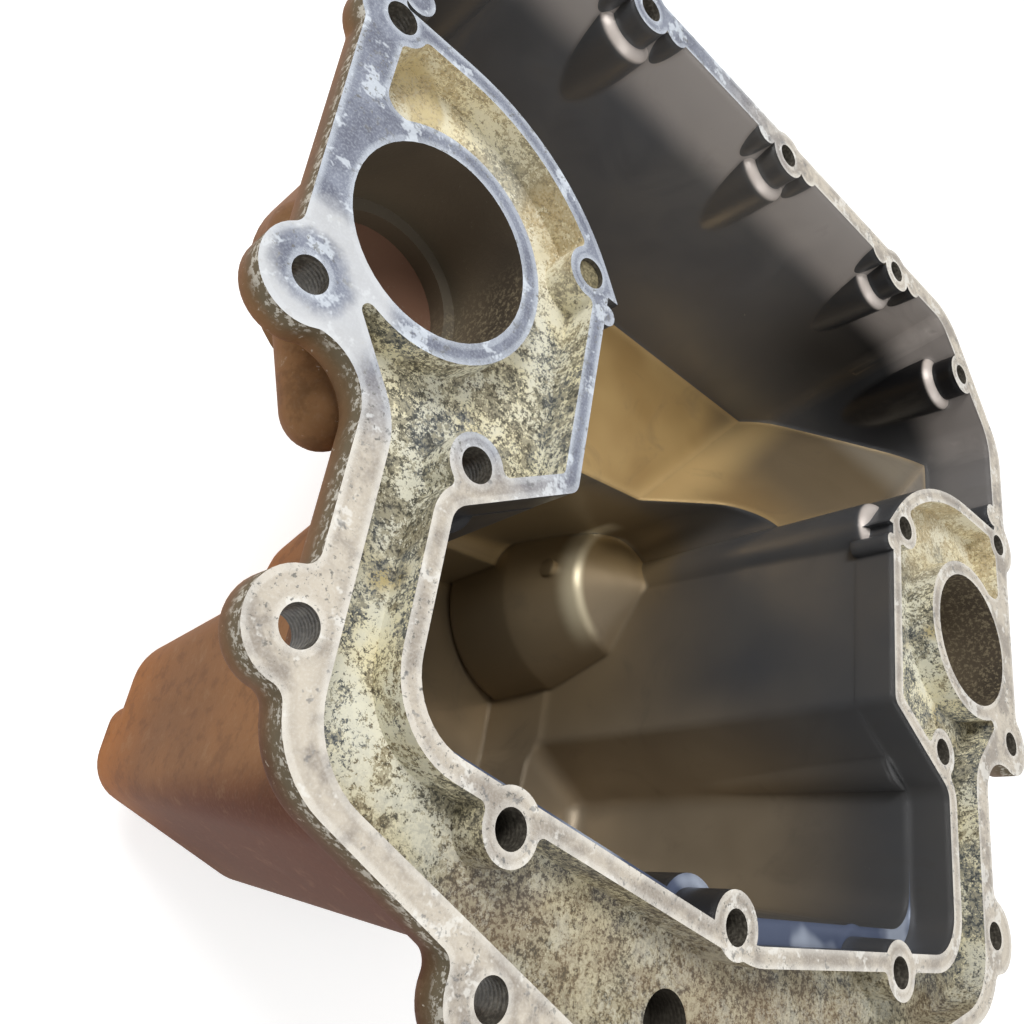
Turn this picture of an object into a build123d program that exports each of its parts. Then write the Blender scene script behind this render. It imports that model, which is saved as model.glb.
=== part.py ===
"""Cast aluminium engine oil pan with an open coolant channel in its gasket face.

Frame: origin on the gasket face, midway between the two coolant bores.
+Z points out of the gasket face, +Y towards the straight bolt rail and
+X towards the right bore.  The pan hangs below the face, towards -Z.
All sizes are millimetres.
"""
import os

from build123d import *

# ---- casting thicknesses ----
wall = 4.5                # pan walls and floors
flange_depth = 11.0       # bolt flange, gasket face to underside
channel_depth = 10.0      # coolant channel below the gasket face
channel_floor = 4.5       # metal under the coolant channel
channel_side = 4.0        # metal beside the coolant channel
lip_width = 5.2           # sealing lip between channel and oil space
flange_edge_round = 3.0   # cast rounding of the flange's lower edge

# ---- depths of the oil space, below the gasket face ----
bay_depth = 95.0          # shallow bay beside the straight rail
wing_depth = 172.0        # side wings of the deep sump
well_depth = 203.0        # deepest, middle part of the sump
ledge_depth = 15.0        # ledge under the lower sealing lip
mouth_end = 22.0          # the straight-sided mouth over the sump ends at this y

# ---- bolt holes ----
bolt_hole_radius = 4.5    # clearance for M8
lobe_radius = 9.0         # flange lobe round an inner bolt
ear_radius = 12.0         # flange ear round an outer bolt
channel_boss_radius = 8.0
channel_corner = 2.0      # rounding of the channel's corners in plan
ear_blend = 4.0           # rounding where an ear meets the flange
access_radius = 8.8       # wrench space under an inner bolt's seat
access_wall = 3.8         # metal between that space and the oil space
seat_depth = 14.5         # bolt seats beside the coolant channel
low_seat_depth = 20.0     # bolt seats under the ledge
shoulder_depth = 9.0      # top of an access flute, below the gasket face
shoulder_round = 4.0
flute_end = 165.0
low_flute_end = 85.0      # the same under the lower lip, where the skirt begins

# ---- coolant bores ----
bore_radius = 25.6
bore_depth = 28.0
bore_step_radius = 21.9
bore_step_depth = 6.0
bore_floor = 4.0
bore_ring_width = 5.4
left_bore = (-134.0, 1.6)
right_bore = (134.0, -1.6)
port_radius = 8.0         # drilling in the floor of the lower channel
port_place = (-18.0, -154.0)
port_length = 26.0
port_wall = 4.5

# ---- drain plug in the right wing of the sump ----
drain_height = -150.0
drain_place = 72.0        # to the right of the middle, in the sump's front wall
drain_thread_radius = 7.0
drain_clearance = 0.15
drain_boss_radius = 13.0
drain_boss_length = 14.0
drain_face = 117.0        # seat of the plug's washer, out from the origin
washer_radius = 11.0
washer_thickness = 1.6
head_across_flats = 19.0
head_height = 9.0
head_flange_radius = 12.0
head_flange_height = 2.4
shank_length = 17.0
shank_chamfer = 1.2

# Bolt places on the gasket face.
rail_middle = (1.2, 146.5)
rail_pitch = 80.5
rail_bolts = [(rail_middle[0] + rail_pitch * step, rail_middle[1]) for step in (-1, 0, 1)]
corner_bolts = [(-137.8, 126.4), (137.8, 126.4)]
island_bolts = [(-86.8, 25.5), (84.2, 24.2), (-111.4, -48.9), (106.8, -53.4)]
lower_bolts = [(-84.3, -123.6), (-5.5, -129.5), (75.2, -128.4)]
ear_bolts = [(-160.7, 55.3), (163.9, 52.3), (-162.6, -28.8), (162.6, -34.7),
             (-143.5, -100.2), (139.3, -107.8), (-82.5, -155.7), (78.5, -159.5)]
edge_bolts = [(-27.5, -170.5), (27.5, -170.5)]

# Outlines: x, y and the radius of the rounded corner.
outer_outline = [
    (-128, 154.5, 28), (128, 154.5, 28), (171.5, 104, 25), (168, -45.5, 8),
    (140, -45.5, 14), (139.5, -129, 26), (81, -157, 10), (50, -178, 20),
    (-50, -178, 20), (-85, -154, 10), (-143, -126, 24), (-143, -39.5, 14),
    (-167, -39.5, 8), (-171.5, 104, 25),
]
opening_outline = [
    (-121, 146, 14), (121, 146, 14), (161, 104, 22), (161, 57.7, 2),
    (99.3, 57.7, 70), (75.2, 25.5, 4), (74.7, -45, 4), (110, -66, 6),
    (110, -118.5, 15), (3, -132.5, 20), (-115, -110.5, 18), (-115, -61.4, 6),
    (-79.7, -40.6, 4), (-79.3, 27.5, 4), (-102.3, 59.7, 70),
    (-161, 59.7, 2), (-161, 104, 22),
]
channel_outline = [
    (-158.5, 60, 1), (-158.5, 27, 5), (-140, 27, 1), (-140, -20, 1),
    (-151, -27, 1.5), (-134.5, -50, 22), (-134.5, -123.5, 22), (-42, -165, 20),
    (40, -165, 20), (131, -128, 22), (131, -53, 22), (150, -31, 1.5),
    (140, -22, 1), (140, 24, 1), (160, 24, 5), (160, 58, 1),
]
# Half-round casting nibs on the edge of the opening: x, y, radius.
edge_nibs = [(-79, 16, 3.2), (74.5, 14.5, 3.2), (-158, 66, 5), (160, 65, 5),
             (-13, 148, 5.5), (14, 148, 5.5), (-92, 148, 5.5), (-66, 148, 5.5),
             (68, 148, 5.5), (95, 148, 5.5)]

# Oil space, upper bay: at the gasket face and at its floor.
bay_top = [
    (-121, 146, 14), (121, 146, 14), (161, 104, 22), (161, 57.7, 2),
    (99.3, 57.7, 70), (69.2, 17.5, 2), (-72.3, 17.7, 2),
    (-102.3, 59.7, 70), (-161, 59.7, 2), (-161, 104, 22),
]
bay_floor = [
    (-118, 117, 14), (113, 117, 14), (141, 92, 20), (141, 53, 2),
    (97, 53, 60), (67.5, 17.9, 2), (-70.4, 17.9, 2),
    (-99, 54, 60), (-141, 54, 2), (-141, 92, 20),
]
# Oil space, deep sump: below the flange and at the bottom of the wings.
sump_top = [
    (-55, 44, 12), (-79.4, 20, 12), (-79.7, -40.8, 4), (-114.6, -61.4, 6),
    (-114.6, -104, 16), (3, -125.5, 20), (109.5, -112, 14), (109.5, -66.2, 6),
    (74.9, -45.2, 4), (75.3, 18, 4), (84, 50, 12),
]
wing_floor = [
    (-40, 20, 14), (-74, -22, 14), (-80, -46, 4), (-109.5, -75, 14),
    (-109.5, -106, 16), (2, -110, 20), (102, -100, 14), (102, -68, 6),
    (70, -49, 4), (70, 14, 4), (78, 44, 12),
]
well_top_depth = 150.0
well_top = [
    (-36, 20, 16), (-70, -22, 14), (-72, -50, 10), (-70, -92, 14), (0, -107, 20),
    (67, -92, 14), (70, -50, 10), (70, 31, 12),
]
well_floor = [
    (-30, 14, 16), (-66, -24, 14), (-68, -52, 10), (-64, -88, 14), (0, -96, 20),
    (62, -88, 14), (66, -52, 10), (66, 24, 12),
]
wing_bottom_round = 9.0   # rounding inside the bottom edges of the wings

# Skirt under the lower channel, left of the drain: at its root and at its hem.
skirt_top = [
    (-118.5, -86, 8), (-118.5, -132, 10), (-84, -148, 10), (20, -152, 20),
    (42, -150, 8), (42, -86, 8),
]
skirt_hem = [
    (-113.5, -86, 8), (-113.5, -113, 14), (-57, -132, 20), (20, -136.5, 20),
    (42, -135, 8), (42, -86, 8),
]
skirt_ribs = [-48.0, 18.0]
skirt_rib_width = 5.0

# Ramp in the bay's right corner: three points of its plane.
ramp_plane_points = [(48, 51, -95), (98, 110, -95), (157, 95, -24)]
ramp_top_depth = 27.0

# Raised hump in the sump's right wall.
hump_place = (75.0, 20.0)
hump_top = -114.0
hump_rim_radius = 31.0
hump_rim = -132.0
hump_side_radius = 44.0
hump_side = -165.0
hump_foot_radius = 48.0
hump_rim_round = 5.0
pip_radius = 4.0
pip_place = (46.0, 20.5, -144.0)
pip_length = 8.5

# Outer bulge of the cooling water passage under the left and right ears.
passage_radius = 9.5
passage_depth = 22.0
passage_near = (-142.0, -43.0)
passage_far = (-158.0, -3.0)

cut_margin = 1.0          # how far cutting tools run past a face
flange_span = 400.0       # larger than the flange, for cutting shapes in two


def rounded_face(points, grow=0.0):
    """Flat face inside a rounded outline, grown outwards by a distance."""
    corners = [(x, y) for x, y, radius in points]
    radii = [radius for x, y, radius in points]
    path = FilletPolyline(*corners, radius=radii, close=True)
    face = make_face(path.edges())
    if grow:
        face = offset(face, amount=grow)
    return face


def disc(place, radius):
    return Pos(place[0], place[1]) * Circle(radius)


def prism(face, top, bottom):
    """Upright prism of a face between two heights."""
    return extrude(Pos(0, 0, bottom) * face, amount=top - bottom, dir=(0, 0, 1))


def post(place, radius, top, bottom):
    return prism(disc(place, radius), top, bottom)


def tapered(top_points, top, bottom_points, bottom, grow=0.0):
    """Drafted block between two outlines, grown outwards and downwards."""
    upper = Pos(0, 0, top) * rounded_face(top_points, grow)
    lower = Pos(0, 0, bottom - grow) * rounded_face(bottom_points, grow)
    return loft([upper, lower], ruled=True)


def opening_face():
    """Mouth of the oil space with its bolt lobes and nibs left standing."""
    face = rounded_face(opening_outline)
    for place in rail_bolts + corner_bolts + lower_bolts:
        face -= disc(place, lobe_radius)
    for x, y, radius in edge_nibs:
        face -= disc((x, y), radius)
    return face


def soft_inside(face, radius):
    """Rounds the inward corners of a face."""
    return offset(offset(face, amount=radius), amount=-radius)


def soft_outside(face, radius):
    """Rounds the outward corners of a face."""
    return offset(offset(face, amount=-radius), amount=radius)


def flange_face():
    """Outline of the bolt flange with its ears."""
    face = rounded_face(outer_outline)
    for place in ear_bolts:
        face += disc(place, ear_radius)
    for place in rail_bolts:
        face += disc(place, lobe_radius + 1.0)
    return soft_inside(face, ear_blend)


def channel_face():
    """Open coolant channel: round both bores, down both legs and across."""
    face = rounded_face(channel_outline) - rounded_face(opening_outline, lip_width)
    for place in (left_bore, right_bore):
        face -= disc(place, bore_radius + bore_ring_width)
    for place in island_bolts + lower_bolts + ear_bolts:
        face -= disc(place, channel_boss_radius)
    return soft_outside(face, channel_corner)


def ramp_block(side_sign, grow=0.0):
    """Solid corner below a ramp's plane, lowered by the wall to give its underside."""
    points = [(side_sign * x, y, z) for x, y, z in ramp_plane_points]
    first, second, third = [Vector(*point) for point in points]
    normal = (second - first).cross(third - first).normalized()
    if normal.Z < 0:
        normal = normal * -1
    side = 600.0
    plane = Plane(origin=first - normal * grow, x_dir=second - first, z_dir=normal)
    under = plane * Box(side, side, side, align=(Align.CENTER, Align.CENTER, Align.MAX))
    top = -ramp_top_depth - grow
    corner = Pos(side_sign * side / 2, 0, top) * Box(
        side, side, side, align=(Align.CENTER, Align.CENTER, Align.MAX))
    return under & corner


def along_drain(radius, start, end):
    """Cylinder on the drain's axis, from one distance out from the origin to another."""
    place = Plane(origin=(drain_place, -start, drain_height), z_dir=(0, -1, 0))
    return place * Cylinder(radius, end - start,
                            align=(Align.CENTER, Align.CENTER, Align.MIN))


def oil_space(grow=0.0):
    """The oil space below the flange; grown, it is the outside of the walls."""
    bay = tapered(bay_top, 0, bay_floor, -bay_depth, grow)
    for side_sign in (-1, 1):
        bay -= ramp_block(side_sign, grow)
    wings = tapered(sump_top, -ledge_depth, wing_floor, -wing_depth, grow)
    wings = fillet(wings.edges().group_by(Axis.Z)[0], wing_bottom_round + grow)
    well = tapered(well_top, -well_top_depth, well_floor, -well_depth, grow)
    return bay + wings + well


def skirt():
    """Outer wall that hangs below the lower channel and stiffens the sump, open below."""
    hem = -wing_depth - wall
    root = -channel_depth - channel_floor
    body = loft([Pos(0, 0, -channel_depth) * rounded_face(skirt_top),
                 Pos(0, 0, hem) * rounded_face(skirt_hem)], ruled=True)
    hollow = loft([Pos(0, 0, root) * rounded_face(skirt_top, -wall),
                   Pos(0, 0, hem - cut_margin) * rounded_face(skirt_hem, -wall)], ruled=True)
    ribs = [body & (Pos(x, 0, 0) * Box(skirt_rib_width, flange_span, flange_span))
            for x in skirt_ribs]
    return body - hollow + ribs


def flute(place, end):
    """Bulge round the wrench space of one bolt, with a rounded shoulder."""
    bulge = post(place, access_radius + access_wall, -shoulder_depth, -end)
    return fillet(bulge.edges().group_by(Axis.Z)[-1], shoulder_round)


def passage(near, far):
    """Round bulge of a cast water passage under the flange's edge."""
    start = Vector(near[0], near[1], -passage_depth)
    stop = Vector(far[0], far[1], -passage_depth)
    length = (stop - start).length
    rod = Plane(origin=start, z_dir=stop - start) * Cylinder(
        passage_radius, length, align=(Align.CENTER, Align.CENTER, Align.MIN))
    return rod + Pos(*start) * Sphere(passage_radius) + Pos(*stop) * Sphere(passage_radius)


def bore_tower(place):
    depth = bore_depth + bore_step_depth + bore_floor
    return post(place, bore_radius + bore_ring_width, 0, -depth)


def bore_cut(place):
    step_floor = -bore_depth - bore_step_depth
    return (post(place, bore_radius, cut_margin, -bore_depth)
            + post(place, bore_step_radius, -bore_depth, step_floor))


def hump():
    """Raised round hump on the sump's right wall: a sloping crown, a rounded rim and a pip."""
    x, y = hump_place
    outline = FilletPolyline(
        (0, -well_depth), (hump_foot_radius, -well_depth), (hump_side_radius, hump_side),
        (hump_rim_radius, hump_rim), (0, hump_top), radius=hump_rim_round)
    profile = make_face(outline.edges() + Line((0, hump_top), (0, -well_depth)).edges())
    body = Pos(x, y) * revolve(Plane.XZ * profile, Axis.Z)
    pip = Pos(*pip_place) * Rot(0, -90, 0) * Cylinder(
        pip_radius, pip_length, align=(Align.CENTER, Align.CENTER, Align.MIN))
    return body + pip


def build_casting():
    flange = prism(flange_face(), 0, -flange_depth)
    flange = fillet(flange.edges().group_by(Axis.Z)[0], flange_edge_round)
    trough = prism(rounded_face(channel_outline, channel_side), 0,
                   -channel_depth - channel_floor)
    shell = oil_space(wall)
    below_lip = Pos(0, mouth_end - flange_span / 2) * Rectangle(flange_span, flange_span)
    mouth = prism(rounded_face(opening_outline) & below_lip, cut_margin, -ledge_depth)
    collar = prism(rounded_face(opening_outline, wall) & below_lip, 0,
                   -ledge_depth - wall)
    space = oil_space() + mouth

    casting = flange + trough + skirt() + shell + collar
    for place in (left_bore, right_bore):
        casting += bore_tower(place)
    for side in (-1, 1):
        near = (-side * passage_near[0], passage_near[1])
        far = (-side * passage_far[0], passage_far[1])
        casting += passage(near, far)
    casting += post(port_place, port_radius + port_wall, -channel_depth, -port_length)
    casting -= space

    inner_bolts = rail_bolts + corner_bolts + island_bolts + lower_bolts
    for place in rail_bolts + corner_bolts + island_bolts:
        casting += flute(place, flute_end) & shell
    for place in lower_bolts:
        casting += flute(place, low_flute_end) & shell
    casting += hump() & shell
    lobes = prism(rounded_face(opening_outline) - opening_face(), 0, -ledge_depth)
    casting += lobes

    casting -= prism(channel_face(), cut_margin, -channel_depth)
    for place in (left_bore, right_bore):
        casting -= bore_cut(place)
    for place in rail_bolts + corner_bolts:
        casting -= post(place, access_radius, -flange_depth, -flute_end - cut_margin)
    for place in island_bolts:
        casting -= post(place, access_radius, -seat_depth, -flute_end - cut_margin)
    for place in lower_bolts:
        casting -= post(place, access_radius, -low_seat_depth, -low_flute_end - cut_margin)
    for place in inner_bolts + ear_bolts + edge_bolts:
        casting -= post(place, bolt_hole_radius, cut_margin, -low_seat_depth - cut_margin)
    casting -= post(port_place, port_radius, cut_margin, -port_length + port_wall)
    boss = along_drain(drain_boss_radius, drain_face - drain_boss_length, drain_face)
    hole = along_drain(drain_thread_radius + drain_clearance,
                   drain_face - drain_boss_length - cut_margin, drain_face + cut_margin)
    return casting + boss - hole


def build_washer():
    outer_face = drain_face + washer_thickness
    ring = along_drain(washer_radius, drain_face, outer_face)
    return ring - along_drain(drain_thread_radius + drain_clearance, drain_face, outer_face)


def build_plug():
    seat = drain_face + washer_thickness
    shank = along_drain(drain_thread_radius, drain_face - shank_length, seat)
    shank = chamfer(shank.edges().group_by(Axis.Y)[-1], shank_chamfer)
    flange = along_drain(head_flange_radius, seat, seat + head_flange_height)
    hexagon = RegularPolygon(head_across_flats / 2, 6, major_radius=False)
    place = Plane(origin=(drain_place, -seat, drain_height), z_dir=(0, -1, 0))
    head = extrude(place * hexagon, head_height)
    return shank + flange + head


if __name__ == "__main__":
    os.makedirs("parts", exist_ok=True)
    export_step(build_casting(), "parts/pan_casting.step")
    export_step(build_washer(), "parts/drain_washer.step")
    export_step(build_plug(), "parts/drain_plug.step")
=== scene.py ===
"""Looks for the cast aluminium engine oil pan."""
import math

import bpy
from mathutils import Matrix, Vector
from mathutils.bvhtree import BVHTree


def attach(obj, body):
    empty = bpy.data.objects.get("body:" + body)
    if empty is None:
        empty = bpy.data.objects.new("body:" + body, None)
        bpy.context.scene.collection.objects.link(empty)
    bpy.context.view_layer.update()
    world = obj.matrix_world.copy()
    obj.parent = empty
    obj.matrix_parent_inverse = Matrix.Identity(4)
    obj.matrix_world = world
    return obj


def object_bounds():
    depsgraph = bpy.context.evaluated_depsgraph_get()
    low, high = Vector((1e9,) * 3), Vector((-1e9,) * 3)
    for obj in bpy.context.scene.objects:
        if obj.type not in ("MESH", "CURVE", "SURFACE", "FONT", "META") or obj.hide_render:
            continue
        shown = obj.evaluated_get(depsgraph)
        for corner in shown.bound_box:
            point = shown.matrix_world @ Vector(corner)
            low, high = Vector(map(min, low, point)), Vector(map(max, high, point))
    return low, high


MM = 0.001

# ---- camera, in millimetres of the part's frame ----
CAMERA_PLACE = (-222.9, -157.0, 159.5)
CAMERA_RIGHT = (0.72769, 0.16032, 0.66690)
CAMERA_UP = (-0.41324, 0.87850, 0.23972)
CAMERA_LENS = 34.30       # focal length
CAMERA_SENSOR = 36.0      # width
CAMERA_CLIP = 10.0

# ---- places that tell the casting's surfaces apart, in millimetres ----
LAND_TOP = 0.0
CHANNEL_FLOOR = -10.0
BORES = [(-134.0, 1.6), (134.0, -1.6)]
BORE_RADIUS = 25.7
BORE_FLOOR = -34.5
HOLE_RADIUS = 5.0
HOLE_END = -21.0
PORT = (-18.0, -154.0)    # drilling in the channel's floor
PORT_RADIUS = 8.3
PORT_FLOOR = -24.0
PROBE_STEP = 0.6          # how far a test point stands off its face
SLACK = 0.5               # most that a face may lie below the level it belongs to
TOUCH = 0.05
FACING_UP = 0.98          # least upward part of a flat face's normal
NEARLY_UPRIGHT = 0.1      # most upward part of a wall's normal

# ---- places that the looks follow, in millimetres ----
HUMP = (75.0, 20.0)
HUMP_RIM = 31.0
CREST_ACROSS = (0.763, 0.647)     # across the crest between the bay's floor and its ramp
CREST_OFFSET = 8.5
EAR = (-162.6, -28.8)     # the ear whose outer part is worn white
THREAD_PITCH = 1.25
BEVEL_SAMPLES = 2

# ---- deposit in the clogged hole, in millimetres ----
CLOGGED = (-86.8, 25.5)
CLOG_RADIUS = 4.45
CLOG_DEPTH = 1.6
CLOG_LENGTH = 5.0
CLOG_SIDES = 48

# ---- floor, world and lights, in metres and watts ----
FLOOR_SIZE = 3.0
FLOOR_GLOW = 0.45
GLOSSY_SHARE = 0.3        # how much of the floor's glow a reflection shows
WORLD_SOFT = 0.55
WORLD_WHITE = 1.0
LIGHT_TARGET = (0, 0, -0.05)
KEY_LIGHT = {"place": (-0.9, 0.5, 1.0), "size": 0.6, "power": 14.0}
FILL_LIGHT = {"place": (0.4, -0.9, 0.9), "size": 0.9, "power": 5.0}

# Centres of the bolt holes.
BOLTS = [
    (-79.3, 146.5), (1.2, 146.5), (81.7, 146.5), (-137.8, 126.4), (137.8, 126.4),
    (-86.8, 25.5), (84.2, 24.2), (-111.4, -48.9), (106.8, -53.4), (-84.3, -123.6),
    (-5.5, -129.5), (75.2, -128.4), (-160.7, 55.3), (163.9, 52.3), (-162.6, -28.8),
    (162.6, -34.7), (-143.5, -100.2), (139.3, -107.8), (-82.5, -155.7), (78.5, -159.5),
    (-27.5, -170.5), (27.5, -170.5),
]

# Places above the mouth towards which a point inside the oil space may look out.
MOUTH_LOOKS = [
    (0, 60, 60), (0, -70, 60), (-110, 90, 60), (110, 90, 60), (-90, -80, 60), (90, -80, 60),
    (0, 0, 400), (-500, -300, 360), (500, 300, 360), (0, -900, 500), (0, 900, 500),
]

# Corners of the oil space's mouth, on the gasket face.
OIL_MOUTH = [
    (-121, 147), (121, 147), (162, 104), (162, 55), (150, 55), (130, 54.8), (115, 52.2),
    (100, 45.6), (90, 38.5), (75.5, 25), (75, -45), (111, -66), (111, -119), (3, -133),
    (-108, -112), (-116, -104), (-116, -61), (-80, -40), (-80, 27), (-90, 37), (-100, 45),
    (-115, 53), (-130, 56.5), (-150, 57), (-162, 57), (-162, 104),
]

# Corners of the open channel, on the gasket face, a little outside its edge.
CHANNEL_EDGE = [
    (-159, 61), (-159, 26), (-141, 26), (-141, -20), (-152, -27), (-135.5, -50),
    (-135.5, -124), (-42, -166), (40, -166), (132, -128), (132, -53), (151, -31),
    (141, -22), (141, 24), (161, 24), (161, 59), (98, 59), (70, 20), (70, -45),
    (105, -66), (105, -119), (3, -128), (-112, -108), (-112, -61), (-75, -40),
    (-75, 20), (-100, 61),
]

# Linear colours of the cast skin outside, with a painted orange reflection and painted shade
# among them.
SKIN_BROWN = (0.250, 0.130, 0.058)
SKIN_DARK = (0.180, 0.100, 0.050)
SKIN_ORANGE_PAINTED_REFLECTION = (0.40, 0.155, 0.030)
SKIN_FRONT_PAINTED_SHADE = (0.060, 0.018, 0.005)
SKIN_WARM = (0.25, 0.112, 0.036)
BARE_DARK = (0.200, 0.172, 0.138)
BARE_LIGHT = (0.265, 0.238, 0.202)
BLOTCH_DARK = (0.062, 0.036, 0.020)
BLOTCH_LIGHT = (0.42, 0.31, 0.20)
SKIN_OLIVE_PAINTED_SHADE = (0.100, 0.082, 0.048)
RIM_DIRT = (0.17, 0.15, 0.105)
RIM_WORN = (0.62, 0.60, 0.53)
SKIN_SPECK = (0.50, 0.47, 0.40)
SKIN_GRAIN = (0.34, 0.25, 0.18)
SKIN_SHEEN = (0.62, 0.28, 0.12, 1.0)

# Linear colours of the machined face: warm below, cool at the upper left.
SEALANT_WARM = (0.36, 0.315, 0.265)
SEALANT_COOL = (0.150, 0.162, 0.212)
FACE_WARM = (0.64, 0.575, 0.475)
FACE_COOL = (0.245, 0.266, 0.330)
WORN_WARM = (0.88, 0.86, 0.80)
WORN_COOL = (0.78, 0.84, 0.90)
FACE_DIRT = (0.15, 0.145, 0.13)
FACE_PIT = (0.17, 0.17, 0.17)
EAR_WHITE = (0.74, 0.75, 0.75)

# Linear colours of the deposit in the channel.
SCALE_GREY = (0.150, 0.142, 0.105)
SCALE_BROWN = (0.245, 0.195, 0.105)
SCALE_BLUE = (0.128, 0.142, 0.150)
SCALE_GOLD = (0.42, 0.295, 0.115)
SCALE_LOW = (0.140, 0.092, 0.050)
MOTTLE_LIGHT = (0.50, 0.46, 0.33)
MOTTLE_DARK = (0.032, 0.031, 0.026)
FLAKE_CREAM = (0.88, 0.81, 0.55)
FLAKE_PALE = (0.82, 0.80, 0.66)
FLAKE_GOLD = (0.58, 0.47, 0.22)
SCALE_FILM = (0.230, 0.155, 0.080)
SCALE_DUST = (0.80, 0.73, 0.54)

# Linear colours of the oil-washed inside, with painted warm light, painted cool light, painted
# shade and painted highlights among them.
SLATE_DARK = (0.092, 0.096, 0.104)
SLATE_LIGHT = (0.122, 0.120, 0.118)
BROWN_PAINTED_LIGHT_DARK = (0.265, 0.200, 0.120)
BROWN_PAINTED_LIGHT_BRIGHT = (0.330, 0.248, 0.145)
FRONT_PAINTED_LIGHT_DARK = (0.300, 0.240, 0.165)
FRONT_PAINTED_LIGHT_BRIGHT = (0.390, 0.315, 0.220)
LEFT_PAINTED_SHADE = (0.032, 0.030, 0.030)
RAIL_PAINTED_SHADE = (0.010, 0.010, 0.011)
GOLD_PAINTED_LIGHT_DARK = (0.40, 0.250, 0.092)
GOLD_PAINTED_LIGHT_BRIGHT = (0.52, 0.345, 0.140)
GOLD_PAINTED_LIGHT_BROWN = (0.245, 0.175, 0.092)
GOLD_PAINTED_LIGHT_GREY = (0.40, 0.335, 0.245)
CREST_PAINTED_HIGHLIGHT = (0.80, 0.56, 0.25)
DROP_PAINTED_LIGHT = (0.25, 0.178, 0.088)
LEDGE_PAINTED_COOL_LIGHT = (0.115, 0.145, 0.235)
LEDGE_PAINTED_GLINT = (0.50, 0.56, 0.68)
EDGE_PAINTED_HIGHLIGHT = (0.66, 0.46, 0.21)
HUMP_RIM_PAINTED_HIGHLIGHT = (0.80, 0.70, 0.48)
SHOULDER_PAINTED_HIGHLIGHT = (0.74, 0.66, 0.60)
OIL_STREAK = (0.09, 0.082, 0.068)
OIL_SPECK = (0.30, 0.29, 0.25)

# Linear colours of the coolant bores.
BORE_DARK = (0.072, 0.057, 0.041)
BORE_BROWN = (0.112, 0.088, 0.060)
BORE_LOW_PAINTED_LIGHT = (0.150, 0.120, 0.080)
BORE_RUST = (0.230, 0.120, 0.076)
BORE_STEP = (0.130, 0.108, 0.078)
BORE_DUST = (0.30, 0.25, 0.16)
BORE_SPECK = (0.30, 0.27, 0.20)

# Linear colours of the bolt holes.
HOLE_DARK = (0.07, 0.062, 0.05)
HOLE_LIGHT = (0.17, 0.155, 0.125)
HOLE_PAINTED_SHADE = (0.045, 0.038, 0.03)

# Linear colours of the plug, the washer and the sandy deposit.
ZINC_DARK = (0.42, 0.40, 0.36)
ZINC_LIGHT = (0.55, 0.53, 0.50)
WASHER_DARK = (0.62, 0.62, 0.61)
WASHER_LIGHT = (0.72, 0.72, 0.71)
SAND_DARK = (0.10, 0.085, 0.045)
SAND_LIGHT = (0.30, 0.255, 0.145)

# Linear colours of the floor.
FLOOR_PALE = (0.90, 0.90, 0.90)
FLOOR_PALER = (0.92, 0.92, 0.92)

# Order of the casting's materials.
OUTSIDE, LAND, CHANNEL, OIL_SIDE, BORE, HOLE = range(6)


def make_camera():
    """Camera that was fitted to the photograph by the circular bores and parallel edges."""
    data = bpy.data.cameras.new("camera")
    data.lens = CAMERA_LENS
    data.sensor_width = CAMERA_SENSOR
    data.clip_start = CAMERA_CLIP * MM
    camera = bpy.data.objects.new("camera", data)
    bpy.context.scene.collection.objects.link(camera)
    right = Vector(CAMERA_RIGHT).normalized()
    up = (Vector(CAMERA_UP) - right * right.dot(Vector(CAMERA_UP))).normalized()
    back = right.cross(up)
    turn = Matrix((right, up, back)).transposed().to_4x4()
    camera.matrix_world = Matrix.Translation(Vector(CAMERA_PLACE) * MM) @ turn
    bpy.context.scene.camera = camera


def area_light(name, place, size, power):
    """Soft round lamp that looks at the part."""
    data = bpy.data.lights.new(name, "AREA")
    data.shape = "DISK"
    data.size = size
    data.energy = power
    light = bpy.data.objects.new(name, data)
    bpy.context.scene.collection.objects.link(light)
    light.location = place
    aim = Vector(LIGHT_TARGET) - Vector(place)
    light.rotation_euler = aim.to_track_quat("-Z", "Y").to_euler()


def new_material(name):
    material = bpy.data.materials.new(name)
    material.use_nodes = True
    material.node_tree.nodes.clear()
    return material


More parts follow.
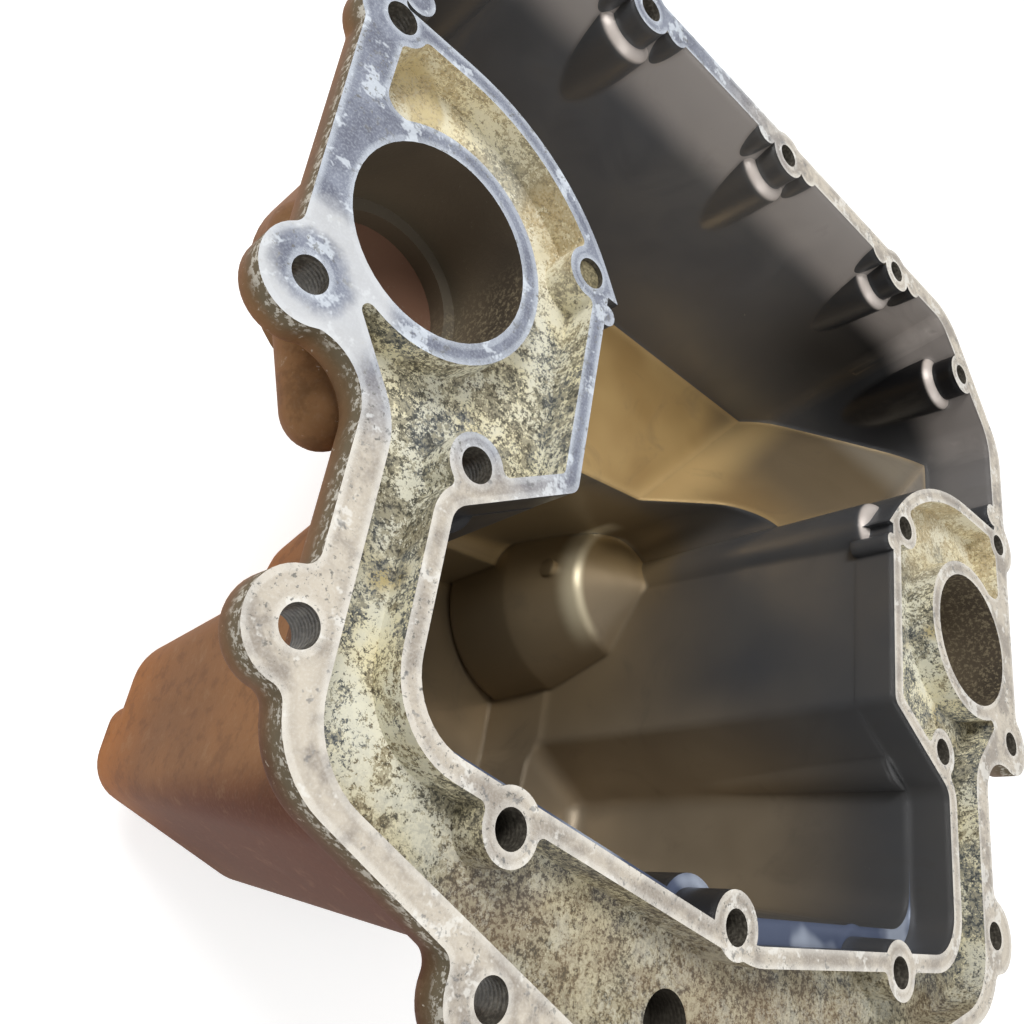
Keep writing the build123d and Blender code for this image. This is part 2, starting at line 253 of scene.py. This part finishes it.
class Nodes:
    """Short calls for building one material's node tree. Its coordinates are in metres."""

    def __init__(self, material):
        self.tree = material.node_tree
        self.coords = self.add("ShaderNodeTexCoord").outputs["Object"]

    def add(self, kind, **settings):
        node = self.tree.nodes.new(kind)
        for name, value in settings.items():
            setattr(node, name, value)
        return node

    def feed(self, socket, value):
        """Links a socket, or sets a constant on the input."""
        if isinstance(value, bpy.types.NodeSocket):
            self.tree.links.new(value, socket)
        elif isinstance(value, tuple) and len(value) == 3 and socket.type == "RGBA":
            socket.default_value = (*value, 1.0)
        else:
            socket.default_value = value

    def noise(self, scale, detail=4.0, rough=0.55, vector=None, distort=0.0):
        node = self.add("ShaderNodeTexNoise")
        self.feed(node.inputs["Vector"], vector or self.coords)
        node.inputs["Scale"].default_value = scale
        node.inputs["Detail"].default_value = detail
        node.inputs["Roughness"].default_value = rough
        node.inputs["Distortion"].default_value = distort
        return node.outputs["Fac"]

    def math(self, operation, first, second=0.0, third=0.0, clamp=False):
        node = self.add("ShaderNodeMath", operation=operation, use_clamp=clamp)
        self.feed(node.inputs[0], first)
        self.feed(node.inputs[1], second)
        self.feed(node.inputs[2], third)
        return node.outputs[0]

    def times(self, first, second):
        return self.math("MULTIPLY", first, second)

    def minus(self, first, second):
        return self.math("SUBTRACT", first, second)

    def shifted(self, value, amount, noise):
        """The value with a little noise added, so that a border isn't straight."""
        return self.math("MULTIPLY_ADD", noise, amount, value)

    def distance(self, x, y, centre):
        """Distance in metres from an upright line through the centre, given in millimetres."""
        out_x = self.minus(x, centre[0] * MM)
        out_y = self.minus(y, centre[1] * MM)
        return self.math("SQRT", self.math("ADD", self.times(out_x, out_x),
                                           self.times(out_y, out_y)))

    def ramp(self, value, low, high, to_low=0.0, to_high=1.0):
        """Smooth step from low to high."""
        node = self.add("ShaderNodeMapRange", interpolation_type="SMOOTHSTEP")
        self.feed(node.inputs["Value"], value)
        node.inputs["From Min"].default_value = low
        node.inputs["From Max"].default_value = high
        node.inputs["To Min"].default_value = to_low
        node.inputs["To Max"].default_value = to_high
        return node.outputs["Result"]

    def mix(self, factor, first, second, blend="MIX"):
        node = self.add("ShaderNodeMix", data_type="RGBA", blend_type=blend)
        self.feed(node.inputs["Factor"], factor)
        self.feed(node.inputs["A"], first)
        self.feed(node.inputs["B"], second)
        return node.outputs["Result"]

    def split(self, vector):
        node = self.add("ShaderNodeSeparateXYZ")
        self.feed(node.inputs[0], vector)
        return node.outputs

    def bump(self, height, strength, distance, normal=None):
        node = self.add("ShaderNodeBump")
        self.feed(node.inputs["Height"], height)
        node.inputs["Strength"].default_value = strength
        node.inputs["Distance"].default_value = distance
        if normal is not None:
            self.feed(node.inputs["Normal"], normal)
        return node.outputs["Normal"]

    def surface(self, colour, roughness, normal=None, metallic=0.0):
        shader = self.add("ShaderNodeBsdfPrincipled")
        self.feed(shader.inputs["Base Color"], colour)
        self.feed(shader.inputs["Roughness"], roughness)
        self.feed(shader.inputs["Metallic"], metallic)
        if normal is not None:
            self.feed(shader.inputs["Normal"], normal)
        output = self.add("ShaderNodeOutputMaterial")
        self.tree.links.new(shader.outputs["BSDF"], output.inputs["Surface"])
        return shader


def rounded_normal(n, radius):
    """Normal of a surface whose edges look rounded by the radius in millimetres."""
    soft = n.add("ShaderNodeBevel", samples=BEVEL_SAMPLES)
    soft.inputs["Radius"].default_value = radius * MM
    return soft.outputs["Normal"]


def edge_nearness(n, radius):
    """Grows from 0 on a flat face, one radius from its edge, to about 0.3 at the edge."""
    soft = rounded_normal(n, radius)
    plain = n.add("ShaderNodeNewGeometry")
    dot = n.add("ShaderNodeVectorMath", operation="DOT_PRODUCT")
    n.feed(dot.inputs[0], soft)
    n.feed(dot.inputs[1], plain.outputs["True Normal"])
    return n.minus(1.0, dot.outputs["Value"])


def cast_outside():
    """Cast skin outside: brown, a painted orange reflection low down, painted shade on the front
    face and just below the flange's edge, greyer at the back, speckled at the flange.
    """
    material = new_material("cast_outside")
    n = Nodes(material)
    x, y, z = n.split(n.coords)
    # brown, by height and place; the orange low down is a painted reflection and the dark
    # red-brown on the front face is painted shade
    broad = n.noise(16.0, 3.0)
    tint = n.mix(n.ramp(broad, 0.35, 0.7), SKIN_BROWN, SKIN_DARK)
    tint = n.mix(n.ramp(z, -0.120, -0.190, 0.0, 0.8), tint, SKIN_ORANGE_PAINTED_REFLECTION)
    # painted shade: the front face turns dark red-brown
    tint = n.mix(n.ramp(y, -0.112, -0.126, 0.0, 0.85), tint, SKIN_FRONT_PAINTED_SHADE)
    tint = n.mix(n.ramp(y, 0.02, 0.10, 0.0, 0.6), tint, SKIN_WARM)
    # bare casting through the brown, away from the side that the photograph shows
    away = n.math("MAXIMUM", n.ramp(x, -0.085, 0.0), n.ramp(y, 0.11, 0.14))
    stain = n.ramp(n.noise(24.0, 3.0, 0.65, distort=0.8), 0.40, 0.62, 0.9, 0.35)
    cast = n.mix(n.ramp(n.noise(9.0, 2.0), 0.4, 0.6), BARE_DARK, BARE_LIGHT)
    tint = n.mix(n.times(away, stain), tint, cast)
    blotch = n.noise(130.0, 4.0, 0.72)
    tint = n.mix(n.ramp(blotch, 0.50, 0.36, 0.0, 0.30), tint, BLOTCH_DARK)
    tint = n.mix(n.ramp(blotch, 0.56, 0.68, 0.0, 0.14), tint, BLOTCH_LIGHT)
    # painted shade in an olive band just below the flange's edge, then dirt, wear and specks at
    # the edge itself
    olive_painted_shade = n.ramp(n.shifted(z, 0.008, n.noise(50.0, 3.0)), -0.0075, 0.0015)
    tint = n.mix(n.times(olive_painted_shade, 0.8), tint, SKIN_OLIVE_PAINTED_SHADE)
    speck = n.noise(520.0, 3.0, 0.7)
    rim = n.ramp(n.shifted(z, 0.006, n.noise(90.0, 3.0, 0.6)), -0.0030, 0.0022)
    colour = n.mix(n.times(rim, 0.75), tint, RIM_DIRT)
    worn = n.times(rim, n.ramp(speck, 0.50, 0.59))
    colour = n.mix(n.times(worn, 0.85), colour, RIM_WORN)
    rare = n.times(n.ramp(speck, 0.66, 0.70), n.ramp(z, -0.030, -0.004))
    colour = n.mix(n.times(rare, 0.7), colour, SKIN_SPECK)
    # fine grain of the cast skin
    grain = n.noise(900.0, 2.0, 0.6)
    colour = n.mix(n.ramp(grain, 0.45, 0.9, 0.0, 0.15), colour, SKIN_GRAIN)
    rough = n.ramp(rim, 0.0, 1.0, 0.46, 0.62)
    normal = n.bump(grain, 0.15, 0.0003, rounded_normal(n, 6.0))
    shader = n.surface(colour, rough, normal, metallic=0.4)
    shader.inputs["Specular IOR Level"].default_value = 0.2
    shader.inputs["Specular Tint"].default_value = SKIN_SHEEN
    return material


def machined_land():
    """Machined face: pale worn edges, greyer sealant beside them, specks of deposit."""
    material = new_material("machined_land")
    n = Nodes(material)
    x, y = n.split(n.coords)[:2]
    spread = n.shifted(y, 0.030, n.noise(45.0, 3.0, 0.6))
    far_up = n.times(n.ramp(spread, -0.048, -0.018), n.ramp(x, 0.02, -0.06))
    trace = n.mix(far_up, SEALANT_WARM, SEALANT_COOL)
    plain = n.mix(far_up, FACE_WARM, FACE_COOL)
    pale = n.mix(far_up, WORN_WARM, WORN_COOL)
    band = n.noise(60.0, 4.0, 0.68)
    colour = n.mix(n.ramp(band, 0.40, 0.56), trace, plain)
    # sealant beside the edges, then the worn edges themselves
    wide = n.ramp(edge_nearness(n, 6.5), 0.0, 0.06)
    torn = n.ramp(n.noise(150.0, 4.0, 0.75), 0.36, 0.56, 0.55, 1.0)
    colour = n.mix(n.times(wide, torn), colour, trace)
    rim = n.ramp(edge_nearness(n, 2.8), 0.0, 0.045)
    colour = n.mix(n.times(rim, n.ramp(band, 0.30, 0.55, 0.80, 1.0)), colour, pale)
    # patches, specks and pits
    patch = n.ramp(n.noise(85.0, 4.0, 0.75), 0.55, 0.61)
    colour = n.mix(n.times(patch, 0.6), colour, pale)
    speck = n.noise(620.0, 3.0, 0.72)
    dirt = n.times(n.ramp(speck, 0.57, 0.65), n.ramp(n.noise(26.0, 2.0), 0.46, 0.58))
    colour = n.mix(n.times(dirt, 0.85), colour, FACE_DIRT)
    pits = n.times(n.ramp(n.noise(210.0, 3.0, 0.7), 0.61, 0.67), 0.65)
    colour = n.mix(pits, colour, FACE_PIT)
    fine = n.noise(1500.0, 2.0, 0.6)
    colour = n.mix(n.ramp(fine, 0.40, 0.75, 0.0, 0.22), colour, pale)
    # white wear round one ear
    reach = n.shifted(n.distance(x, y, EAR), 0.012, n.noise(70.0, 4.0, 0.6))
    ear = n.times(n.ramp(reach, 0.031, 0.023), n.ramp(reach, 0.0130, 0.0175))
    colour = n.mix(n.times(ear, 0.70), colour, EAR_WHITE)
    rough = n.ramp(band, 0.3, 0.7, 0.40, 0.58)
    n.surface(colour, rough, n.bump(fine, 0.15, 0.0002), metallic=0.1)
    return material


def channel_deposit():
    """Coolant channel: cream flakes over grey-brown, blue-grey and golden-brown old deposit."""
    material = new_material("channel_deposit")
    n = Nodes(material)
    y = n.split(n.coords)[1]
    where = n.noise(22.0, 3.0, 0.5)
    base = n.mix(n.ramp(where, 0.42, 0.60), SCALE_GREY, SCALE_BROWN)
    base = n.mix(n.ramp(n.noise(42.0, 3.0), 0.46, 0.58), base, SCALE_BLUE)
    # golden in the upper crescents, brown in the lower channel
    golden = n.times(n.ramp(y, 0.005, 0.035), n.ramp(n.noise(34.0, 4.0), 0.34, 0.56))
    base = n.mix(golden, base, SCALE_GOLD)
    low = n.times(n.ramp(y, -0.115, -0.150), n.ramp(n.noise(40.0, 4.0), 0.32, 0.58))
    base = n.mix(low, base, SCALE_LOW)
    # fine mottle, then flakes in heaps
    mottle = n.noise(640.0, 3.0, 0.82)
    base = n.mix(n.ramp(mottle, 0.45, 0.58, 0.0, 0.70), base, MOTTLE_LIGHT)
    base = n.mix(n.ramp(mottle, 0.49, 0.38, 0.0, 0.7), base, MOTTLE_DARK)
    flakes = n.noise(120.0, 6.0, 0.82)
    cloud = n.noise(24.0, 2.0, 0.6)
    grain = n.noise(900.0, 3.0, 0.85)
    pile = n.math("MULTIPLY_ADD", cloud, 0.35, n.math("MULTIPLY_ADD", grain, 0.75, flakes))
    mask = n.times(n.ramp(pile, 1.062, 1.088), n.ramp(y, -0.105, -0.145, 1.0, 0.40))
    cream = n.mix(n.ramp(n.noise(60.0, 3.0), 0.4, 0.6), FLAKE_CREAM, FLAKE_PALE)
    cream = n.mix(n.ramp(n.noise(33.0, 2.0), 0.60, 0.70), cream, FLAKE_GOLD)
    colour = n.mix(n.times(mask, 0.85), base, cream)
    colour = n.mix(n.times(low, 0.35), colour, SCALE_FILM)
    colour = n.mix(n.ramp(y, 0.0, 0.03, 0.0, 0.28), colour, SCALE_DUST)
    height = n.math("MULTIPLY_ADD", flakes, 1.4, grain)
    n.surface(colour, n.ramp(mottle, 0.3, 0.7, 0.5, 0.8), n.bump(height, 0.45, 0.0005))
    return material


def oil_side():
    """Oil-washed casting inside: slate near the face, painted warm light that turns it brown low
    down and golden on the floors, painted shade in the darkest corners, painted highlights on
    edges.
    """
    material = new_material("oil_side")
    n = Nodes(material)
    x, y, z = n.split(n.coords)
    face = n.split(n.add("ShaderNodeNewGeometry").outputs["Normal"])
    # walls: slate near the face, brown with painted warm light low down and at the front, painted
    # shade in the corner at the front left and on the rail's wall at the upper right
    broad = n.noise(12.0, 3.0)
    slate = n.mix(n.ramp(broad, 0.35, 0.65), SLATE_DARK, SLATE_LIGHT)
    brown = n.mix(n.ramp(broad, 0.35, 0.65), BROWN_PAINTED_LIGHT_DARK, BROWN_PAINTED_LIGHT_BRIGHT)
    colour = n.mix(n.ramp(z, -0.055, -0.150), slate, brown)
    front = n.mix(n.ramp(broad, 0.35, 0.65), FRONT_PAINTED_LIGHT_DARK, FRONT_PAINTED_LIGHT_BRIGHT)
    in_front = n.times(n.ramp(y, -0.025, -0.066), n.ramp(z, -0.016, -0.085))
    colour = n.mix(in_front, colour, front)
    # painted shade: the left part of the sump goes nearly black
    left_painted_shade = n.times(n.ramp(x, 0.035, -0.015), n.ramp(y, 0.025, -0.010))
    colour = n.mix(n.times(left_painted_shade, 0.8), colour, LEFT_PAINTED_SHADE)
    colour = n.mix(n.ramp(y, 0.045, 0.085), colour, slate)
    # painted shade: the rail's wall at the upper right goes nearly black
    shade = n.times(n.ramp(x, 0.035, 0.105), n.ramp(y, 0.085, 0.115))
    shade = n.times(shade, n.ramp(z, -0.090, -0.040))
    colour = n.mix(shade, colour, RAIL_PAINTED_SHADE)
    # floor and ramps of the bay, golden with painted warm light, and a painted highlight along
    # the crest between them
    floorness = n.times(n.ramp(face[2], 0.25, 0.75), n.ramp(y, 0.012, 0.045))
    floorness = n.times(floorness, n.ramp(z, -0.020, -0.034))
    golden = n.mix(n.ramp(n.noise(20.0, 2.0, 0.6), 0.35, 0.65), GOLD_PAINTED_LIGHT_DARK, GOLD_PAINTED_LIGHT_BRIGHT)
    golden = n.mix(n.ramp(x, 0.070, 0.100), golden, GOLD_PAINTED_LIGHT_BROWN)
    golden = n.mix(n.ramp(x, 0.125, 0.140), golden, GOLD_PAINTED_LIGHT_GREY)
    colour = n.mix(floorness, colour, golden)
    # painted highlight along the crest
    along = n.minus(n.times(x, CREST_ACROSS[0]), n.times(y, CREST_ACROSS[1]))
    crest_painted_highlight = n.math("ABSOLUTE", n.minus(along, CREST_OFFSET * MM))
    crest_painted_highlight = n.times(n.ramp(crest_painted_highlight, 0.013, 0.0), floorness)
    colour = n.mix(n.times(crest_painted_highlight, 0.8), colour, CREST_PAINTED_HIGHLIGHT)
    # wall below the bay, brown with painted warm light, and the ledge under the lower lip, blue
    # with painted cool light and painted glints
    drop_painted_light = n.times(n.ramp(z, -0.094, -0.108), n.ramp(y, 0.0, 0.03))
    colour = n.mix(n.times(drop_painted_light, 0.7), colour, DROP_PAINTED_LIGHT)
    # painted cool light and painted glints on the up-facing ledge
    ledge = n.times(n.ramp(face[2], 0.6, 0.9), n.ramp(z, -0.026, -0.018))
    ledge = n.times(ledge, n.ramp(y, -0.09, -0.105))
    ledge_painted_light = n.mix(n.ramp(n.noise(45.0, 2.0), 0.52, 0.68), LEDGE_PAINTED_COOL_LIGHT, LEDGE_PAINTED_GLINT)
    colour = n.mix(ledge, colour, ledge_painted_light)
    # painted highlights on edges: the bay's floor, the hump's rim, the lobes' shoulders
    edge = n.ramp(edge_nearness(n, 7.0), 0.0, 0.05)
    edge_painted_highlight = n.times(n.times(edge, floorness), 0.9)
    colour = n.mix(edge_painted_highlight, colour, EDGE_PAINTED_HIGHLIGHT)
    # painted highlight along the hump's rim, on the side towards the light
    off_rim = n.math("ABSOLUTE", n.minus(n.distance(x, y, HUMP), HUMP_RIM * MM))
    rim_painted_highlight = n.ramp(off_rim, 0.0042, 0.0008)
    rim_painted_highlight = n.times(rim_painted_highlight, n.ramp(x, 0.066, 0.048))
    rim_painted_highlight = n.times(rim_painted_highlight, n.ramp(z, -0.116, -0.124))
    colour = n.mix(n.times(rim_painted_highlight, 0.85), colour, HUMP_RIM_PAINTED_HIGHLIGHT)
    # painted highlight on the lobes' shoulders
    shoulder_painted_highlight = n.times(n.ramp(z, -0.030, -0.016), n.ramp(face[2], 0.10, 0.5))
    shoulder_painted_highlight = n.times(shoulder_painted_highlight, n.ramp(y, -0.02, 0.01))
    colour = n.mix(n.times(shoulder_painted_highlight, 0.9), colour, SHOULDER_PAINTED_HIGHLIGHT)
    # streaks and specks of oil
    streak = n.noise(30.0, 4.0, 0.6, distort=1.2)
    colour = n.mix(n.ramp(streak, 0.55, 0.75, 0.0, 0.22), colour, OIL_STREAK)
    speck = n.noise(300.0, 4.0, 0.7)
    colour = n.mix(n.ramp(speck, 0.72, 0.77, 0.0, 0.5), colour, OIL_SPECK)
    grain = n.noise(500.0, 3.0, 0.6)
    rough = n.ramp(streak, 0.35, 0.7, 0.28, 0.40)
    normal = n.bump(grain, 0.06, 0.0002, rounded_normal(n, 3.5))
    n.surface(colour, rough, normal, metallic=0.35)
    return material


def bore_wall():
    """Coolant bore: dark brown film on the wall, with painted shade that keeps its upper part
    darker than its lower part, dust low down, rust on the floor.
    """
    material = new_material("bore_wall")
    n = Nodes(material)
    x, y, z = n.split(n.coords)
    face = n.split(n.add("ShaderNodeNewGeometry").outputs["Normal"])
    speck = n.noise(700.0, 3.0, 0.78)
    broad = n.noise(30.0, 3.0)
    dark = n.mix(n.ramp(broad, 0.35, 0.65), BORE_DARK, BORE_BROWN)
    # painted shade: the wall is darker at the top and lighter from about 24 mm down
    dark = n.mix(n.ramp(z, -0.006, -0.024), dark, BORE_LOW_PAINTED_LIGHT)
    floor = n.ramp(face[2], 0.5, 0.9)
    dark = n.mix(floor, dark, BORE_RUST)
    dark = n.mix(n.times(floor, n.ramp(z, -0.032, -0.030)), dark, BORE_STEP)
    low = n.ramp(n.minus(x, y), -0.128, -0.108)
    dust = n.times(n.ramp(speck, 0.50, 0.60), low)
    colour = n.mix(n.times(dust, 0.8), dark, BORE_DUST)
    colour = n.mix(n.ramp(speck, 0.66, 0.74, 0.0, 0.4), colour, BORE_SPECK)
    n.surface(colour, 0.48, n.bump(speck, 0.35, 0.0003), metallic=0.15)
    return material


def bolt_hole():
    """Bolt hole: dull metal with dirt, painted shade deeper in, and the rings of a thread."""
    material = new_material("bolt_hole")
    n = Nodes(material)
    z = n.split(n.coords)[2]
    speck = n.noise(900.0, 4.0, 0.6)
    colour = n.mix(n.ramp(speck, 0.4, 0.7), HOLE_DARK, HOLE_LIGHT)
    # painted shade: darker deeper in the hole
    deep_painted_shade = n.ramp(z, -0.004, -0.014)
    colour = n.mix(n.times(deep_painted_shade, 0.6), colour, HOLE_PAINTED_SHADE)
    ring = n.math("SINE", n.times(z, 2 * math.pi / (THREAD_PITCH * MM)))
    height = n.math("MULTIPLY_ADD", speck, 0.15, n.times(ring, 0.28))
    n.surface(colour, 0.42, n.bump(height, 0.22, 0.0004), metallic=0.2)
    return material


def plated_steel():
    """Drain plug: dull zinc."""
    material = new_material("plated_steel")
    n = Nodes(material)
    patch = n.noise(220.0, 4.0, 0.6)
    colour = n.mix(n.ramp(patch, 0.35, 0.7), ZINC_DARK, ZINC_LIGHT)
    normal = n.bump(patch, 0.1, 0.0002, rounded_normal(n, 0.5))
    n.surface(colour, n.ramp(patch, 0.3, 0.7, 0.32, 0.5), normal, metallic=0.9)
    return material


def seal_washer():
    """Drain washer: soft aluminium."""
    material = new_material("seal_washer")
    n = Nodes(material)
    patch = n.noise(400.0, 4.0, 0.6)
    colour = n.mix(n.ramp(patch, 0.35, 0.7), WASHER_DARK, WASHER_LIGHT)
    n.surface(colour, 0.4, n.bump(patch, 0.1, 0.0002), metallic=0.8)
    return material


def set_materials(obj, materials):
    obj.data.materials.clear()
    for material in materials:
        obj.data.materials.append(material)


def inside_polygon(x, y, corners):
    """Whether a point lies inside a closed line of corners, by the even-odd rule."""
    inside = False
    for (x0, y0), (x1, y1) in zip(corners, corners[1:] + corners[:1]):
        if (y0 > y) != (y1 > y) and x < (x1 - x0) * (y - y0) / (y1 - y0) + x0:
            inside = not inside
    return inside


def seen_through_mouth(tree, probe):
    """Whether a straight line from the point leaves through the oil space's mouth."""
    for target in MOUTH_LOOKS:
        aim = Vector(target) * MM - probe
        if tree.ray_cast(probe, aim.normalized(), aim.length)[0] is None:
            leave = probe + aim * (-probe.z / aim.z)
            if inside_polygon(leave.x / MM, leave.y / MM, OIL_MOUTH):
                return True
    return False


def surface_kind(tree, centre, normal):
    """Index of the casting's material at one face, told from its place and what lies round it."""
    if normal.z > FACING_UP and centre.z / MM > LAND_TOP - TOUCH:
        return LAND
    x, y, depth = centre.x / MM, centre.y / MM, centre.z / MM
    if depth > HOLE_END and abs(normal.z) < NEARLY_UPRIGHT:
        if any(math.hypot(x - bx, y - by) < HOLE_RADIUS for bx, by in BOLTS):
            return HOLE
    if math.hypot(x - PORT[0], y - PORT[1]) < PORT_RADIUS and depth < CHANNEL_FLOOR:
        inside_port = depth > PORT_FLOOR - 2 * SLACK and normal.z > -NEARLY_UPRIGHT
        return HOLE if inside_port else OUTSIDE
    if depth > BORE_FLOOR:
        if any(math.hypot(x - bx, y - by) < BORE_RADIUS for bx, by in BORES):
            return BORE
    probe = centre + normal * PROBE_STEP * MM
    floor = tree.ray_cast(probe, Vector((0, 0, -1)))[0]
    open_above = tree.ray_cast(probe, Vector((0, 0, 1)))[0] is None
    over_channel = floor is not None and floor.z / MM > CHANNEL_FLOOR - 2 * SLACK
    in_mouth = inside_polygon(probe.x / MM, probe.y / MM, OIL_MOUTH)
    in_channel = inside_polygon(probe.x / MM, probe.y / MM, CHANNEL_EDGE) and not in_mouth
    if in_channel and (depth > CHANNEL_FLOOR - SLACK or (open_above and over_channel)):
        return CHANNEL
    if seen_through_mouth(tree, probe):
        return OIL_SIDE
    return OUTSIDE


def dress_casting(obj):
    """Gives each face of the casting one of six materials."""
    set_materials(obj, [cast_outside(), machined_land(), channel_deposit(), oil_side(),
                        bore_wall(), bolt_hole()])
    mesh = obj.data
    tree = BVHTree.FromPolygons([v.co for v in mesh.vertices],
                                [p.vertices for p in mesh.polygons])
    for polygon in mesh.polygons:
        polygon.material_index = surface_kind(tree, polygon.center, polygon.normal)


def sandy_deposit():
    """Crumbly fill of the clogged hole."""
    material = new_material("sandy_deposit")
    n = Nodes(material)
    grain = n.noise(900.0, 6.0, 0.8)
    colour = n.mix(n.ramp(grain, 0.40, 0.58), SAND_DARK, SAND_LIGHT)
    n.surface(colour, 0.85, n.bump(grain, 0.6, 0.0005))
    return material


def clogged_hole():
    """Old deposit that fills one bolt hole to just below the gasket face."""
    x, y = CLOGGED
    bpy.ops.mesh.primitive_cylinder_add(
        vertices=CLOG_SIDES, radius=CLOG_RADIUS * MM, depth=CLOG_LENGTH * MM,
        location=(x * MM, y * MM, -(CLOG_DEPTH + CLOG_LENGTH / 2) * MM))
    piece = bpy.context.object
    piece.name = "hole_deposit"
    set_materials(piece, [sandy_deposit()])
    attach(piece, "root")


def make_stage(lowest):
    """Pale floor that looks white to the camera and keeps the part's shadow."""
    mesh = bpy.data.meshes.new("floor")
    signs = ((-1, -1), (1, -1), (1, 1), (-1, 1))
    corners = [(x * FLOOR_SIZE, y * FLOOR_SIZE, lowest) for x, y in signs]
    mesh.from_pydata(corners, [], [(0, 1, 2, 3)])
    floor = bpy.data.objects.new("floor", mesh)
    bpy.context.scene.collection.objects.link(floor)
    material = new_material("floor_white")
    n = Nodes(material)
    shade = n.mix(n.noise(3.0, 2.0), FLOOR_PALE, FLOOR_PALER)
    shader = n.surface(shade, 0.9)
    shader.inputs["Emission Color"].default_value = (1, 1, 1, 1)
    path = n.add("ShaderNodeLightPath").outputs
    seen = n.math("ADD", path["Is Camera Ray"], path["Is Transmission Ray"])
    seen = n.math("MULTIPLY_ADD", path["Is Glossy Ray"], GLOSSY_SHARE, seen, clamp=True)
    n.feed(shader.inputs["Emission Strength"], n.times(seen, FLOOR_GLOW))
    floor.data.materials.append(material)


def make_world():
    """Soft even light; white where the camera sees past the floor."""
    world = bpy.data.worlds.new("studio")
    bpy.context.scene.world = world
    world.use_nodes = True
    tree = world.node_tree
    tree.nodes.clear()
    path = tree.nodes.new("ShaderNodeLightPath")
    soft = tree.nodes.new("ShaderNodeBackground")
    soft.inputs["Color"].default_value = (1, 1, 1, 1)
    soft.inputs["Strength"].default_value = WORLD_SOFT
    white = tree.nodes.new("ShaderNodeBackground")
    white.inputs["Color"].default_value = (1, 1, 1, 1)
    white.inputs["Strength"].default_value = WORLD_WHITE
    mix = tree.nodes.new("ShaderNodeMixShader")
    output = tree.nodes.new("ShaderNodeOutputWorld")
    tree.links.new(path.outputs["Is Camera Ray"], mix.inputs["Fac"])
    tree.links.new(soft.outputs[0], mix.inputs[1])
    tree.links.new(white.outputs[0], mix.inputs[2])
    tree.links.new(mix.outputs[0], output.inputs["Surface"])


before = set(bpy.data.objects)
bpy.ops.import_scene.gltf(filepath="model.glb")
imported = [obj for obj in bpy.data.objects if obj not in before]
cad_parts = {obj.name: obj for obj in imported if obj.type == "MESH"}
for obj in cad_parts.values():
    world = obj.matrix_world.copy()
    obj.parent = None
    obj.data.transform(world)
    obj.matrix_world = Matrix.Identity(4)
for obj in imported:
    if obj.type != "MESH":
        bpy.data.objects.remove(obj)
cad_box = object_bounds()

dress_casting(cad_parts["pan_casting"])
set_materials(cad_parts["drain_plug"], [plated_steel()])
set_materials(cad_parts["drain_washer"], [seal_washer()])

clogged_hole()
make_stage(cad_box[0][2])
make_world()
make_camera()
area_light("key", **KEY_LIGHT)
area_light("fill", **FILL_LIGHT)

scene = bpy.context.scene
scene.view_settings.view_transform = "Standard"
